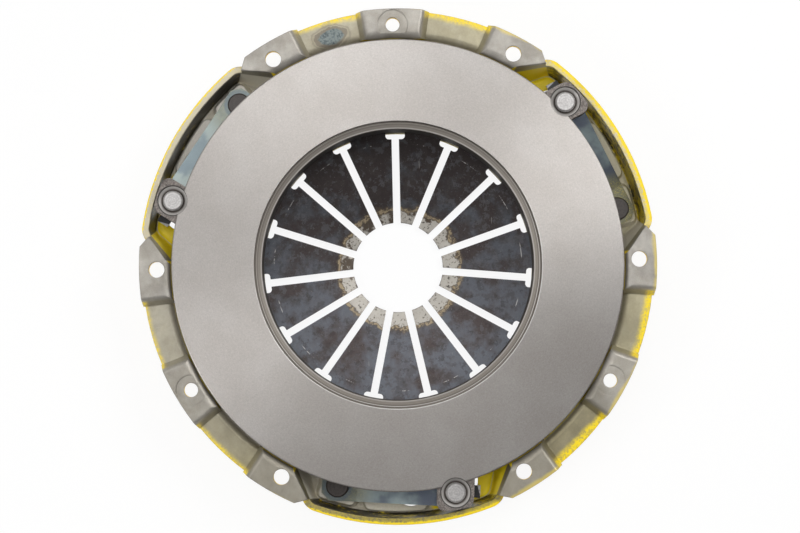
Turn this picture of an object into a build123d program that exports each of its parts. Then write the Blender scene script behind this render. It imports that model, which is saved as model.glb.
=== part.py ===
from build123d import *
from math import cos, degrees, radians, sin, tan
import os

os.makedirs("parts", exist_ok=True)

# The frame has its origin at the centre of the bolt circle, on the mounting face of the tabs.
# +Z points to the flywheel, so the friction face looks up and the spring fingers dip down.
# Every depth is measured down from the mounting face.

# Pattern round the cover: three groups of tabs with three strap pockets between them
group_count = 3
group_pitch = 360 / group_count
first_group_angle = 90
first_pocket_angle = first_group_angle - group_pitch / 2
bolt_tab_angle = 30

# Mounting holes, just outside the bell
bolt_hole_radius = 4.5
bolt_hole_margin = 0.05
dowel_hole_radius = 4.0
hole_count = 3 * group_count
hole_seat_radius = 8.6
hole_seat_depth = 0.3

# Pressed cover
sheet = 3.6
tab_edge = 10.0
dowel_tab_edge = 9.3
web_edge = 8.9
web_setback = 6.0
bell_clearance = 0.35
bell_bend = 5.0
pan_bend = 6.0
pan_step = 4.5
pan_step_run = 5.0
step_bend = 3.0
seat_width = 5.4
opening_clearance = 6.4

# Tabs, each measured across its own radial centre line
dowel_tab_half_width = 18.2
dowel_tab_half_width_inside = 14.7
bolt_tab_half_width = 17.2
bolt_tab_half_width_inside = 15.0
tab_slope_run = 4.0
tab_cut_start_setback = 0.6
tab_cut_start_offset = 13.4
tab_cut_end_setback = 5.5
tab_cut_end_offset = 18.7
tab_crease_round = 2.5
tab_side_reach = 27.0

# Strap pockets
pocket_clearance = 1.5
pocket_half_angle = 21.6
pocket_flare = 25.0
pocket_root_depth = 32.8
pocket_corner = 7.0
pocket_depth = 28.0
pocket_wall_run = 1.2
pocket_floor_half_angle = 20.6
pocket_floor_flare = 10.5
pocket_floor_bend = 3.5
shelf_clearance = 3.5
shelf_half_angle = 24.4
shelf_corner = 9.0

# Diaphragm spring
finger_count = 15
spring_radius = 114.0
spring_bore_radius = 26.5
spring_thickness = 3.0
spring_cone = 10.0
slot_width = 4.35
window_width = 11.4
window_start_radius = 75.2
window_margin = 1.4
window_round = 2.0
finger_shoulder_round = 1.6
spring_edge_round = 0.6

# Fulcrum: two wire rings held by rivets that pass through the spring windows
fulcrum_radius = 91.6
fulcrum_depth = 30.5
wire_radius = 2.0
wire_clearance = 0.05
rivet_clearance = 0.1
fulcrum_rivet_radius = 3.5
fulcrum_head_radius = 6.2
fulcrum_head_height = 3.0
fulcrum_tail_radius = 5.6
fulcrum_tail_height = 3.2
rivet_edge = 0.8

# Pressure plate
friction_height = 1.0
friction_outer_radius = 129.0
friction_inner_radius = 82.0
plate_bore_radius = 77.4
ledge_depth = 1.2
groove_width = 0.8
groove_depth = 0.5
plate_thickness = 17.0
hub_thickness = 20.0
hub_start_radius = 98.0
hub_end_radius = 116.0
hub_slope_run = 3.0
rim_thickness = 12.0
ridge_setback = 2.0
ridge_width = 7.0
ridge_gap_width = 8.0
ridge_clearance = 0.3
ridge_draft = 1.5
ridge_round = 1.5
plate_edge = 0.6

# Lugs of the pressure plate and the rivets in them
lug_rivet_margin = 4.6
lug_rivet_offset = 12.9
lug_width = 21.0
lug_reach = 11.2
lug_far_reach = 8.9
lug_root = 12.0
lug_edge = 9.7
lug_corner = 4.5
lug_far_corner = 7.5
lug_drop = 2.0
lug_thickness = 10.5
spotface_radius = 8.65
spotface_depth = 0.6
countersink_radius = 8.0
countersink_foot_radius = 6.0
countersink_depth = 1.8
lug_rivet_radius = 4.5
lug_head_radius = 5.7
lug_head_rise = 2.4
lug_tail_radius = 7.2
lug_tail_height = 3.2

# Drive straps, each a stack of thin leaves
strap_rivet_margin = 2.7
strap_rivet_offset = -16.7
leaf_count = 3
leaf_thickness = 0.9
leaf_gap = 0.05
strap_width = 17.5
strap_end = 9.0
strap_end_corner = 4.5
strap_flat = 11.0
strap_bend = 14.0
strap_rivet_radius = 4.5
strap_head_radius = 6.6
strap_head_height = 1.8
strap_tail_radius = 6.5
strap_tail_height = 2.6

# Backing plate under each stack at its lug end, with a tongue past the lug
backing_thickness = 2.0
backing_length = 10.0
tongue_width = 7.1
tongue_reach = 14.5
tongue_chamfer = 0.8

# Raised pads in the floor of each pocket
pad_rise = 6.0
pad_start_angle = -21.5
pad_end_angle = -10.8
middle_rise = 3.0
middle_start_angle = -9.7
middle_end_angle = 6.2
pad_margin = 0.4
pad_round = 5.0
pad_draft = 20.0
strap_window_radius = 8.8
strap_window_angle = 2.0
strap_window_shift = 0.9
access_hole_radius = 15.0
access_hole_shift = 5.0
access_hole_margin = 1.2

# The bell clears the outside of the pressure plate, and the rim follows the bell
bell_radius = friction_outer_radius + bell_clearance
bolt_circle_radius = bell_radius + sheet + bolt_hole_margin + bolt_hole_radius
tab_radius = bolt_circle_radius + tab_edge
dowel_tab_radius = bolt_circle_radius + dowel_tab_edge
web_radius = bolt_circle_radius + web_edge
tab_cut_start = (tab_radius - tab_cut_start_setback, tab_cut_start_offset)
tab_cut_end = (tab_radius - tab_cut_end_setback, tab_cut_end_offset)

# The lugs set the pockets, and the pockets set their floors
lug_rivet_circle = friction_outer_radius + lug_rivet_margin
strap_rivet_circle = friction_outer_radius + strap_rivet_margin
lug_outer_radius = lug_rivet_circle + lug_edge
pocket_radius = lug_outer_radius + pocket_clearance
pocket_floor_radius = pocket_radius - pocket_wall_run
pocket_root = pocket_radius - pocket_root_depth
pad_outer_radius = pocket_floor_radius - pad_margin
shelf_radius = spring_radius + shelf_clearance
ridge_radius = spring_radius - ridge_setback
access_hole_circle = lug_rivet_circle - access_hole_shift
access_hole_angle = lug_rivet_offset
strap_window_circle = strap_rivet_circle - strap_window_shift

# Levels worked out from the sizes above
web_level = -web_setback
pocket_floor_level = -pocket_depth
pad_level = pocket_floor_level + pad_rise
friction_level = friction_height
ledge_level = friction_level - ledge_depth
plate_back_level = friction_level - plate_thickness
hub_level = friction_level - hub_thickness
rim_level = friction_level - rim_thickness
lug_level = friction_level - lug_drop
lug_back_level = lug_level - lug_thickness
spotface_level = lug_level - spotface_depth
lug_head_level = spotface_level - countersink_depth
leaf_pitch = leaf_thickness + leaf_gap
stack_height = leaf_count * leaf_pitch
backing_level = lug_back_level - stack_height - leaf_gap

# The fulcrum rings lie on the two faces of the spring, square to its cone
cone_slope = tan(radians(spring_cone))
half_upright = spring_thickness / 2 / cos(radians(spring_cone))
ring_offset = spring_thickness / 2 + wire_radius + wire_clearance
ring_shift = ring_offset * sin(radians(spring_cone))
ring_rise = ring_offset * cos(radians(spring_cone))
front_ring_radius = fulcrum_radius - ring_shift
front_ring_level = -fulcrum_depth + ring_rise
rear_ring_radius = fulcrum_radius + ring_shift
rear_ring_level = -fulcrum_depth - ring_rise
fulcrum_rivet_circle = front_ring_radius - wire_radius - wire_clearance - fulcrum_rivet_radius
fulcrum_head_level = front_ring_level + wire_radius + wire_clearance
seat_level = rear_ring_level - wire_radius - wire_clearance
seat_outer_radius = fulcrum_radius + seat_width
window_end_radius = fulcrum_radius - window_margin
cover_opening_radius = fulcrum_rivet_circle - opening_clearance
pan_level = seat_level - pan_step
pan_back_level = pan_level - sheet


def polar(radius, angle):
    """Point at a radius and at an angle in degrees."""
    return (radius * cos(radians(angle)), radius * sin(radians(angle)))


def spring_level(radius):
    """Height of the middle of the spring's thickness at a radius."""
    return -fulcrum_depth + (radius - fulcrum_radius) * cone_slope


# Each pocket is drawn with its centre line along +X and then turned to its place.
# A strap runs there from the lug rivet to the cover rivet.
lug_point = Vector(*polar(lug_rivet_circle, lug_rivet_offset))
strap_point = Vector(*polar(strap_rivet_circle, strap_rivet_offset))
strap_length = (strap_point - lug_point).length
strap_direction = (strap_point - lug_point).normalized()


def lug_plane(level):
    """Level plane over the lug rivet: X runs along the strap, Y points outwards."""
    return Plane(origin=(lug_point.X, lug_point.Y, level), x_dir=strap_direction, z_dir=(0, 0, 1))


# Upright plane through the middle of a web, where the drum's profiles are drawn and turned
turning_plane = Plane.XZ.rotated((0, 0, first_group_angle - bolt_tab_angle / 2))


def pocket_outline(outer_radius, half_angle, flare):
    """Closed outline of a pocket: an outer arc and two ends that flare inwards."""
    x, y = polar(outer_radius, half_angle)
    flared_y = y + (x - pocket_root) * tan(radians(flare))
    CenterArc((0, 0), outer_radius, -half_angle, 2 * half_angle)
    Polyline((x, y), (pocket_root, flared_y), (pocket_root, -flared_y), (x, -y))


def sector_outline(inner_radius, outer_radius, start, end):
    """Closed outline of a part of a ring between two angles."""
    CenterArc((0, 0), outer_radius, start, end - start)
    Line(polar(outer_radius, end), polar(inner_radius, end))
    CenterArc((0, 0), inner_radius, end, start - end)
    Line(polar(inner_radius, start), polar(outer_radius, start))


# Air inside one pocket, from the mounting face down to the pocket floor
with BuildPart() as pocket_cavity:
    with BuildSketch(Plane.XY):
        with BuildLine():
            pocket_outline(pocket_radius, pocket_half_angle, pocket_flare)
        make_face()
        fillet(vertices().sort_by(Axis.X)[-2:], pocket_corner)
    with BuildSketch(Plane.XY.offset(pocket_floor_level)):
        with BuildLine():
            pocket_outline(pocket_floor_radius, pocket_floor_half_angle, pocket_floor_flare)
        make_face()
        fillet(vertices().sort_by(Axis.X)[-2:], pocket_corner)
    loft(ruled=True)
    fillet(edges().group_by(Axis.Z)[0].sort_by(Axis.X)[1:], pocket_floor_bend)

# The same pocket one sheet thicker all round, which is the skin on its outside
with BuildPart() as pocket_skin:
    with BuildSketch(Plane.XY):
        with BuildLine():
            pocket_outline(pocket_radius, pocket_half_angle, pocket_flare)
        make_face()
        fillet(vertices().sort_by(Axis.X)[-2:], pocket_corner)
        offset(amount=sheet, kind=Kind.INTERSECTION)
    with BuildSketch(Plane.XY.offset(pocket_floor_level - sheet)):
        with BuildLine():
            pocket_outline(pocket_floor_radius, pocket_floor_half_angle, pocket_floor_flare)
        make_face()
        fillet(vertices().sort_by(Axis.X)[-2:], pocket_corner)
        offset(amount=sheet, kind=Kind.INTERSECTION)
    loft(ruled=True)
    fillet(edges().group_by(Axis.Z)[0].sort_by(Axis.X)[1:], pocket_floor_bend + sheet / 2)


def tab_solid(outer_radius, inner_radius, bend, top, bottom, sides):
    """Solid under a tab, raised by the web setback, with its side slopes and its bend to the bell."""
    with BuildPart() as tab:
        with BuildSketch(Plane.XZ.rotated((0, 0, 180))):
            with BuildLine():
                Polyline(
                    (inner_radius, bottom),
                    (inner_radius, top),
                    (outer_radius, top),
                    (outer_radius, bottom),
                    close=True,
                )
            make_face()
            fillet(vertices().group_by(Axis.Y)[-1].sort_by(Axis.X)[0], bend)
        revolve(axis=Axis.Z)
        for x, left, left_foot, right, right_foot in sides:
            with BuildSketch(Plane.YZ.offset(x)):
                with BuildLine():
                    Polyline(
                        (-left, top),
                        (-left_foot, top - web_setback),
                        (-left_foot, bottom),
                        (right_foot, bottom),
                        (right_foot, top - web_setback),
                        (right, top),
                        close=True,
                    )
                make_face()
                fillet(vertices().group_by(Axis.Y)[-1], tab_crease_round)
        loft(ruled=True, mode=Mode.INTERSECT)
    return tab.part


def tab_pair(outer_radius, sides):
    """Front solid of a tab, and the hollow that the press leaves behind it."""
    front = tab_solid(outer_radius, bell_radius, bell_bend, 0, web_level - bell_bend, sides)
    back_bend = bell_bend - sheet
    hollow_radius = outer_radius + sheet
    hollow_bottom = web_level - 2 * sheet
    back = tab_solid(hollow_radius, bell_radius + sheet, back_bend, -sheet, hollow_bottom, sides)
    return front, back


def slope_foot(half_width):
    """Half width of a tab at the foot of its side slope."""
    return half_width + tab_slope_run


dowel_sides = [
    (
        bell_radius,
        dowel_tab_half_width_inside,
        slope_foot(dowel_tab_half_width_inside),
        dowel_tab_half_width_inside,
        slope_foot(dowel_tab_half_width_inside),
    ),
    (
        tab_radius + sheet,
        dowel_tab_half_width,
        slope_foot(dowel_tab_half_width),
        dowel_tab_half_width,
        slope_foot(dowel_tab_half_width),
    ),
]
bolt_sides = [
    (
        bell_radius - sheet,
        bolt_tab_half_width_inside,
        slope_foot(bolt_tab_half_width_inside),
        tab_side_reach,
        tab_side_reach,
    ),
    (
        tab_radius + sheet,
        bolt_tab_half_width,
        slope_foot(bolt_tab_half_width),
        tab_side_reach,
        tab_side_reach,
    ),
]
dowel_tab, dowel_hollow = tab_pair(dowel_tab_radius, dowel_sides)
plain_bolt_tab, plain_bolt_hollow = tab_pair(tab_radius, bolt_sides)

neighbour_turns = [Rotation(0, 0, turn) for turn in (-group_pitch / 2, group_pitch / 2)]

# The corner of each bolt tab is cut off where the pocket begins
with BuildPart() as bolt_tab:
    add(plain_bolt_tab)
    with BuildSketch(Plane.XY):
        with BuildLine():
            run = (tab_cut_end[0] - tab_cut_start[0], tab_cut_end[1] - tab_cut_start[1])
            Polyline(
                (tab_radius + sheet, tab_cut_start[1]),
                tab_cut_start,
                (tab_cut_end[0] + run[0], tab_cut_end[1] + run[1]),
                (tab_cut_end[0] + run[0], tab_side_reach + sheet),
                (tab_radius + sheet, tab_side_reach + sheet),
                close=True,
            )
        make_face()
    extrude(amount=pocket_depth, both=True, mode=Mode.SUBTRACT)

# Both bolt tabs of a group, with the dowel tab between them on the +X axis
with BuildPart() as tab_group:
    with Locations(Rotation(0, 0, bolt_tab_angle)):
        add(bolt_tab.part)
    mirror(about=Plane.XZ)
    add(dowel_tab)

with BuildPart() as hollow_group:
    with Locations(Rotation(0, 0, bolt_tab_angle)):
        add(plain_bolt_hollow)
    mirror(about=Plane.XZ)
    add(dowel_hollow)
    with Locations(*neighbour_turns):
        add(pocket_skin.part, mode=Mode.SUBTRACT)

# The pocket wall stands as high as the webs, and meets the tabs where they reach over it
with BuildPart() as rim_trim:
    with BuildSketch(Plane.XY.offset(web_level)):
        Circle(tab_radius + 2 * sheet)
    extrude(amount=web_setback + sheet)
    with Locations(*neighbour_turns):
        add(tab_group.part, mode=Mode.SUBTRACT)

with BuildPart() as pocket_wall:
    add(pocket_skin.part)
    add(rim_trim.part, mode=Mode.SUBTRACT)

# Solid inside the outer face of the bell and pan, for trimming what is added to them
with BuildPart() as pan_block:
    with BuildSketch(turning_plane):
        with BuildLine():
            Polyline(
                (0, pan_back_level),
                (bell_radius + sheet, pan_back_level),
                (bell_radius + sheet, web_level - sheet),
                (0, web_level - sheet),
                close=True,
            )
        make_face()
        fillet(vertices().sort_by(Axis.X).sort_by(Axis.Y)[1], pan_bend + sheet)
    revolve(axis=Axis.Z)

# Air inside the bell and pan, with the raised seat of the fulcrum ring
with BuildPart() as pan_air:
    with BuildSketch(turning_plane):
        with BuildLine():
            FilletPolyline(
                (0, seat_level),
                (seat_outer_radius, seat_level),
                (seat_outer_radius + pan_step_run, pan_level),
                (bell_radius, pan_level),
                (bell_radius, 0),
                radius=(step_bend, step_bend, pan_bend),
            )
            Polyline((0, seat_level), (0, 0), (bell_radius, 0))
        make_face()
    revolve(axis=Axis.Z)

# Shelf that each pocket floor makes inside the pan
with BuildPart() as shelf:
    with BuildSketch(Plane.XY.offset(pan_back_level)):
        with BuildLine():
            sector_outline(shelf_radius, bell_radius + 2 * sheet, -shelf_half_angle, shelf_half_angle)
        make_face()
        fillet(vertices().sort_by(Axis.X)[:2], shelf_corner)
    extrude(amount=pocket_floor_level - pan_back_level)
    add(pan_block.part, mode=Mode.INTERSECT)

hollow_start_radius = shelf_radius + sheet
hollow_half_angle = shelf_half_angle - degrees(sheet / shelf_radius)
with BuildPart() as shelf_hollow:
    with BuildSketch(Plane.XY.offset(pan_back_level - sheet)):
        with BuildLine():
            hollow_reach = tab_radius + 2 * sheet
            sector_outline(hollow_start_radius, hollow_reach, -hollow_half_angle, hollow_half_angle)
        make_face()
        fillet(vertices().sort_by(Axis.X)[:2], shelf_corner - sheet)
    extrude(amount=pocket_floor_level - pan_back_level)


def floor_pad(inner_radius, start, end, rise, level):
    """Raised pad of a pocket floor, from its foot at a level."""
    with BuildPart() as pad:
        with BuildSketch(Plane.XY.offset(level)):
            with BuildLine():
                sector_outline(inner_radius, pad_outer_radius, start, end)
            make_face()
            fillet(vertices().sort_by(Axis.X)[-2:], pad_round)
        extrude(amount=rise, taper=pad_draft)
    return pad.part


pad_spans = [
    (pad_start_angle, pad_end_angle, pad_rise),
    (middle_start_angle, middle_end_angle, middle_rise),
]
pads = [floor_pad(shelf_radius, *span, pocket_floor_level) for span in pad_spans]
pad_hollows = [
    floor_pad(hollow_start_radius, *span, pocket_floor_level - sheet) for span in pad_spans
]

pocket_turns = [Rotation(0, 0, first_pocket_angle + i * group_pitch) for i in range(group_count)]
group_turns = [Rotation(0, 0, first_group_angle + i * group_pitch) for i in range(group_count)]

# Openings of one pocket floor
with BuildPart() as floor_openings:
    with BuildSketch(Plane.XY.offset(pan_back_level)):
        with Locations(polar(access_hole_circle, access_hole_angle)):
            Circle(access_hole_radius)
        Circle(hollow_start_radius + access_hole_margin, mode=Mode.SUBTRACT)
        with Locations(polar(strap_rivet_circle, strap_rivet_offset)):
            Circle(strap_rivet_radius + rivet_clearance)
        with Locations(polar(strap_window_circle, strap_window_angle)):
            Circle(strap_window_radius)
    extrude(amount=pocket_depth)

# Cover: a drum pressed from one sheet, with its webs, tabs and strap pockets
with BuildPart() as cover:
    with BuildSketch(turning_plane):
        with BuildLine():
            FilletPolyline(
                (cover_opening_radius, seat_level - sheet / 2),
                (seat_outer_radius, seat_level - sheet / 2),
                (seat_outer_radius + pan_step_run, pan_level - sheet / 2),
                (bell_radius + sheet / 2, pan_level - sheet / 2),
                (bell_radius + sheet / 2, web_level - sheet / 2),
                (web_radius, web_level - sheet / 2),
                radius=(step_bend, step_bend, pan_bend + sheet / 2, bell_bend - sheet / 2),
            )
        trace(line_width=sheet)
    revolve(axis=Axis.Z)
    with Locations(*group_turns):
        add(tab_group.part)
    with Locations(*pocket_turns):
        add(pocket_wall.part)
    with Locations(*group_turns):
        add(hollow_group.part, mode=Mode.SUBTRACT)
    add(pan_air.part, mode=Mode.SUBTRACT)
    with Locations(*pocket_turns):
        add(shelf.part)
    with Locations(*pocket_turns):
        add(pocket_cavity.part, mode=Mode.SUBTRACT)
    with Locations(*pocket_turns):
        add(shelf_hollow.part, mode=Mode.SUBTRACT)
    for pad, pad_hollow in zip(pads, pad_hollows):
        with Locations(*pocket_turns):
            add(pad)
        with Locations(*pocket_turns):
            add(pad_hollow, mode=Mode.SUBTRACT)

    # Openings in each pocket floor: under the strap, behind the lug and for the strap rivet
    with Locations(*pocket_turns):
        add(floor_openings.part, mode=Mode.SUBTRACT)

    # Bolt and dowel holes, each in a shallow coined seat
    with BuildSketch(Plane.XY.offset(-hole_seat_depth)):
        with PolarLocations(bolt_circle_radius, hole_count, start_angle=first_group_angle):
            Circle(hole_seat_radius)
    extrude(amount=sheet, mode=Mode.SUBTRACT)
    with BuildSketch(Plane.XY.offset(-2 * sheet)):
        for turn in (-bolt_tab_angle, bolt_tab_angle):
            start = first_group_angle + turn
            with PolarLocations(bolt_circle_radius, group_count, start_angle=start):
                Circle(bolt_hole_radius)
        with PolarLocations(bolt_circle_radius, group_count, start_angle=first_group_angle):
            Circle(dowel_hole_radius)
    extrude(amount=3 * sheet, mode=Mode.SUBTRACT)

    # Holes for the fulcrum rivets
    with BuildSketch(Plane.XY.offset(pan_back_level)):
        with PolarLocations(fulcrum_rivet_circle, finger_count, start_angle=first_group_angle):
            Circle(fulcrum_rivet_radius + rivet_clearance)
    extrude(amount=2 * sheet + pan_step, mode=Mode.SUBTRACT)
cover.part.label = "cover"
export_step(cover.part, "parts/cover.step")

# Slit between two fingers, opening into a window with rounded shoulders
with BuildPart() as finger_slit:
    with BuildSketch(Plane.XY.offset(spring_level(0) - spring_thickness)):
        with BuildLine():
            Polyline(
                (0, slot_width / 2),
                (window_start_radius, slot_width / 2),
                (window_start_radius, window_width / 2),
                (window_end_radius, window_width / 2),
                (window_end_radius, 0),
            )
            mirror(about=Plane.XZ)
            Line((0, slot_width / 2), (0, -slot_width / 2))
        make_face()
        window_corners = vertices().filter_by(lambda v: abs(v.Y) > window_width / 4)
        shoulders = vertices().filter_by(lambda v: abs(v.Y) < window_width / 4 and v.X > slot_width)
        fillet(window_corners, window_round)
        fillet(shoulders.group_by(Axis.X)[0], finger_shoulder_round)
    extrude(amount=spring_radius)

# Diaphragm spring: a cone slit into fingers, with a window at the root of each slit
with BuildPart() as diaphragm_spring:
    with BuildSketch(turning_plane):
        with BuildLine():
            Polyline(
                (spring_bore_radius, spring_level(spring_bore_radius) - half_upright),
                (spring_radius, spring_level(spring_radius) - half_upright),
                (spring_radius, spring_level(spring_radius) + half_upright),
                (spring_bore_radius, spring_level(spring_bore_radius) + half_upright),
                close=True,
            )
        make_face()
        fillet(vertices(), spring_edge_round)
    revolve(axis=Axis.Z)
    with PolarLocations(0, finger_count, start_angle=first_group_angle):
        add(finger_slit.part, mode=Mode.SUBTRACT)
diaphragm_spring.part.label = "diaphragm_spring"
export_step(diaphragm_spring.part, "parts/diaphragm_spring.step")

# Fulcrum rings of round wire, one on each face of the spring
ring_places = {
    "fulcrum_ring_front": (front_ring_radius, front_ring_level),
    "fulcrum_ring_rear": (rear_ring_radius, rear_ring_level),
}
for name, (ring_radius, level) in ring_places.items():
    with BuildPart() as fulcrum_ring:
        with BuildSketch(turning_plane):
            with Locations((ring_radius, level)):
                Circle(wire_radius)
        revolve(axis=Axis.Z)
    fulcrum_ring.part.label = name
    export_step(fulcrum_ring.part, f"parts/{name}.step")


def headed_rivet(radius, head_radius, head_height, tail_radius, tail_height, top, bottom):
    """Rivet on the Z axis: its head stands on the top level and its tail hangs from the bottom one."""
    with BuildPart() as rivet:
        with BuildSketch(Plane.XZ):
            with BuildLine():
                Polyline(
                    (0, top + head_height),
                    (head_radius - rivet_edge, top + head_height),
                    (head_radius, top + head_height - rivet_edge),
                    (head_radius, top),
                    (radius, top),
                    (radius, bottom),
                    (tail_radius, bottom),
                    (tail_radius, bottom - tail_height + rivet_edge),
                    (tail_radius - rivet_edge, bottom - tail_height),
                    (0, bottom - tail_height),
                    close=True,
                )
            make_face()
        revolve(axis=Axis.Z)
    return rivet.part


# Fulcrum rivets, through the spring windows into the cover
fulcrum_rivet = headed_rivet(
    fulcrum_rivet_radius,
    fulcrum_head_radius,
    fulcrum_head_height,
    fulcrum_tail_radius,
    fulcrum_tail_height,
    fulcrum_head_level,
    seat_level - sheet,
)
with BuildPart() as fulcrum_rivets:
    with PolarLocations(fulcrum_rivet_circle, finger_count, start_angle=first_group_angle):
        add(fulcrum_rivet)
fulcrum_rivets.part.label = "fulcrum_rivets"
export_step(fulcrum_rivets.part, "parts/fulcrum_rivets.step")

# Lug of the pressure plate, squared to its strap and turned to the plate's outer radius
with BuildPart() as lug:
    with BuildSketch(lug_plane(lug_back_level)):
        with BuildLine():
            Polyline(
                (-lug_width / 2, -lug_root),
                (-lug_width / 2, lug_far_reach),
                (lug_width / 2, lug_reach),
                (lug_width / 2, -lug_root),
                close=True,
            )
        make_face()
        fillet(vertices().sort_by(Axis.Y)[-1], lug_corner)
        fillet(vertices().group_by(Axis.X)[0].sort_by(Axis.Y)[-1], lug_far_corner)
    extrude(amount=lug_thickness)
    with BuildSketch(Plane.XY.offset(lug_back_level)):
        Circle(lug_outer_radius)
    extrude(amount=lug_thickness, mode=Mode.INTERSECT)

# Recess in the face of each lug for the rivet head, and the hole for its shank
with BuildPart() as lug_recess:
    with BuildSketch(Plane.XZ):
        with BuildLine():
            Polyline(
                (0, friction_level + lug_drop),
                (spotface_radius, friction_level + lug_drop),
                (spotface_radius, spotface_level),
                (countersink_radius, spotface_level),
                (countersink_foot_radius, lug_head_level),
                (lug_rivet_radius + rivet_clearance, lug_head_level),
                (lug_rivet_radius + rivet_clearance, plate_back_level),
                (0, plate_back_level),
                close=True,
            )
        make_face()
    revolve(axis=Axis.Z)

# Pressure plate: a cast ring with a ground friction face, a fulcrum ridge behind and three lugs
with BuildPart() as pressure_plate:
    with BuildSketch(turning_plane):
        with BuildLine():
            Polyline(
                (plate_bore_radius, plate_back_level),
                (plate_bore_radius, ledge_level),
                (friction_inner_radius - groove_width, ledge_level),
                (friction_inner_radius - groove_width, ledge_level - groove_depth),
                (friction_inner_radius, ledge_level - groove_depth),
                (friction_inner_radius, friction_level),
                (friction_outer_radius, friction_level),
                (friction_outer_radius, rim_level),
                (hub_end_radius + hub_slope_run, rim_level),
                (hub_end_radius, hub_level),
                (hub_start_radius, hub_level),
                (hub_start_radius - hub_slope_run, plate_back_level),
                close=True,
            )
        make_face()
        chamfer(vertices().sort_by(Axis.X)[-2:], plate_edge)
    revolve(axis=Axis.Z)
    with BuildSketch(turning_plane):
        inside = ridge_radius - ridge_width / 2
        outside = ridge_radius + ridge_width / 2
        with BuildLine():
            Polyline(
                (inside - ridge_draft, hub_level),
                (outside + ridge_draft, hub_level),
                (outside, spring_level(outside) + half_upright + ridge_clearance),
                (inside, spring_level(inside) + half_upright + ridge_clearance),
                close=True,
            )
        make_face()
        fillet(vertices().sort_by(Axis.Y)[:2], ridge_round)
    revolve(axis=Axis.Z)
    with BuildSketch(Plane.XY.offset(hub_level)):
        with PolarLocations(ridge_radius, finger_count, start_angle=first_group_angle):
            Rectangle(2 * ridge_width, ridge_gap_width)
    extrude(amount=-hub_thickness, mode=Mode.SUBTRACT)
    with Locations(*pocket_turns):
        add(lug.part)
    with PolarLocations(lug_rivet_circle, group_count, first_pocket_angle + lug_rivet_offset):
        add(lug_recess.part, mode=Mode.SUBTRACT)
pressure_plate.part.label = "pressure_plate"
export_step(pressure_plate.part, "parts/pressure_plate.step")

# Rivets that hold the straps in the lugs
lug_rivet = headed_rivet(
    lug_rivet_radius,
    lug_head_radius,
    lug_head_rise,
    lug_tail_radius,
    lug_tail_height,
    lug_head_level,
    backing_level - backing_thickness,
)
with BuildPart() as lug_rivets:
    with PolarLocations(lug_rivet_circle, group_count, first_pocket_angle + lug_rivet_offset):
        add(lug_rivet)
lug_rivets.part.label = "lug_rivets"
export_step(lug_rivets.part, "parts/lug_rivets.step")

# Rivets that hold the straps on the pads of the cover
strap_rivet = headed_rivet(
    strap_rivet_radius,
    strap_head_radius,
    strap_head_height,
    strap_tail_radius,
    strap_tail_height,
    pad_level + stack_height,
    pad_level - sheet,
)
with BuildPart() as cover_strap_rivets:
    with PolarLocations(strap_rivet_circle, group_count, first_pocket_angle + strap_rivet_offset):
        add(strap_rivet)
cover_strap_rivets.part.label = "cover_strap_rivets"
export_step(cover_strap_rivets.part, "parts/cover_strap_rivets.step")


def leaf_line(lug_end_level, pad_end_level):
    """Side view of one face of a leaf, with its two soft bends between the rivets."""
    FilletPolyline(
        (-strap_end, lug_end_level),
        (strap_flat, lug_end_level),
        (strap_length - strap_flat, pad_end_level),
        (strap_length + strap_end, pad_end_level),
        radius=strap_bend,
    )


# Leaves of the drive straps, one above the other, and the backing plate under each stack
strap_side = Plane(
    origin=(lug_point.X, lug_point.Y, 0),
    x_dir=strap_direction,
    z_dir=strap_direction.cross(Vector(0, 0, 1)),
)
for leaf_number in range(leaf_count):
    lug_end = lug_back_level - leaf_gap - leaf_number * leaf_pitch
    pad_end = pad_level + stack_height - leaf_number * leaf_pitch
    with BuildPart() as strap_leaf:
        with BuildSketch(strap_side):
            with BuildLine():
                leaf_line(lug_end, pad_end)
                leaf_line(lug_end - leaf_thickness, pad_end - leaf_thickness)
                for x, level in ((-strap_end, lug_end), (strap_length + strap_end, pad_end)):
                    Line((x, level), (x, level - leaf_thickness))
            make_face()
        extrude(amount=strap_width / 2, both=True)
        chamfer(edges().filter_by(Axis.Z), strap_end_corner)
        with BuildSketch(lug_plane(pocket_floor_level)):
            with Locations((0, 0), (strap_length, 0)):
                Circle(strap_rivet_radius + rivet_clearance)
        extrude(amount=pocket_depth, mode=Mode.SUBTRACT)
    for pocket_number, turn in enumerate(pocket_turns):
        with BuildPart() as placed_leaf:
            with Locations(turn):
                add(strap_leaf.part)
        name = f"strap_{pocket_number + 1}_leaf_{leaf_number + 1}"
        placed_leaf.part.label = name
        export_step(placed_leaf.part, f"parts/{name}.step")

with BuildPart() as backing_plate:
    with BuildSketch(lug_plane(backing_level - backing_thickness)):
        Circle(backing_length)
        with Locations((-tongue_reach / 2, 0)):
            Rectangle(tongue_reach, tongue_width)
        Circle(lug_rivet_radius + rivet_clearance, mode=Mode.SUBTRACT)
    extrude(amount=backing_thickness)
for pocket_number, turn in enumerate(pocket_turns):
    with BuildPart() as placed_plate:
        with Locations(turn):
            add(backing_plate.part)
    name = f"strap_{pocket_number + 1}_backing_plate"
    placed_plate.part.label = name
    export_step(placed_plate.part, f"parts/{name}.step")
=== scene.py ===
# Clutch pressure plate: finishes, finished rivets, copies of the spring and of the sliced strap leaves,
# camera and light
import math

import bmesh
import bpy
from mathutils import Matrix, Vector


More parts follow.
